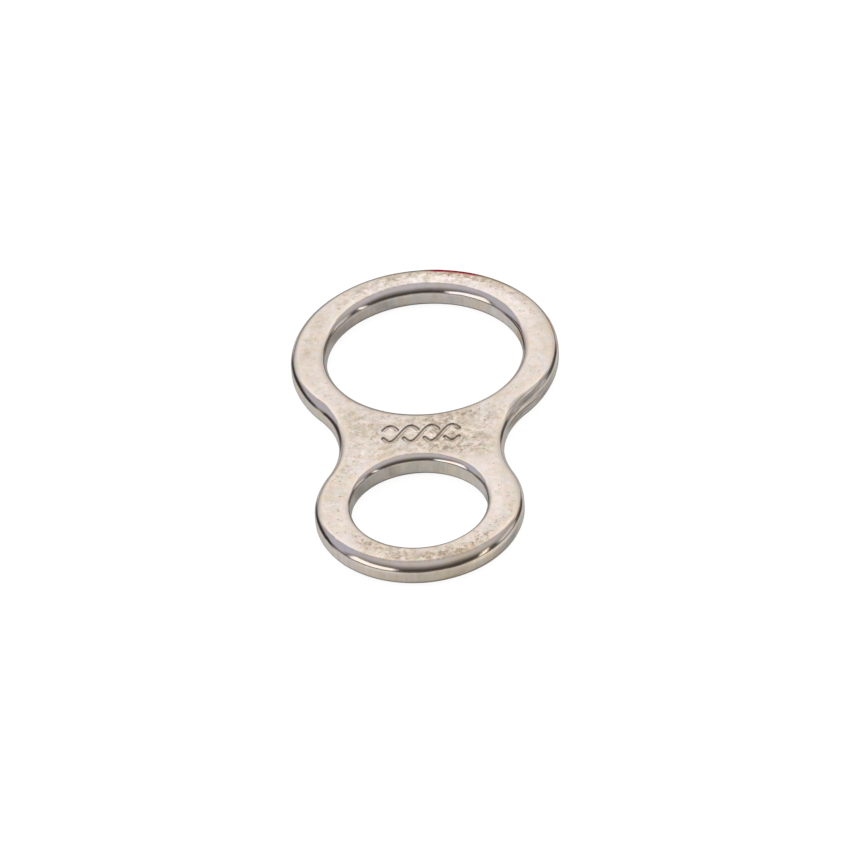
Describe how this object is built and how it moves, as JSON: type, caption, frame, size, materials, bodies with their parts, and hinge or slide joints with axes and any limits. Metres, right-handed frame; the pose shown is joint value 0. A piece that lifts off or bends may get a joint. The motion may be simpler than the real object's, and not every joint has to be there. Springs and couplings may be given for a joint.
{
  "type": "figure-eight belay device",
  "caption": "Small flat stainless-steel figure-eight plate with a large rope eye, a small carabiner eye and rounded rims, joined by a waisted web.",
  "frame": {"origin": "middle of the bounding box on the underside, on the plate's plane of symmetry", "axes": "+Y along the plate towards the large eye, +Z out of the marked face, +X across the plate"},
  "size_m": [0.0514, 0.0906, 0.005],
  "materials": {
    "tumbled_stainless": "tumbled satin stainless steel, slightly warm, with fine pitting and polished rims"
  },
  "bodies": {
    "root": {"figure_eight_plate": "tumbled_stainless"}
  },
  "joints": []
}
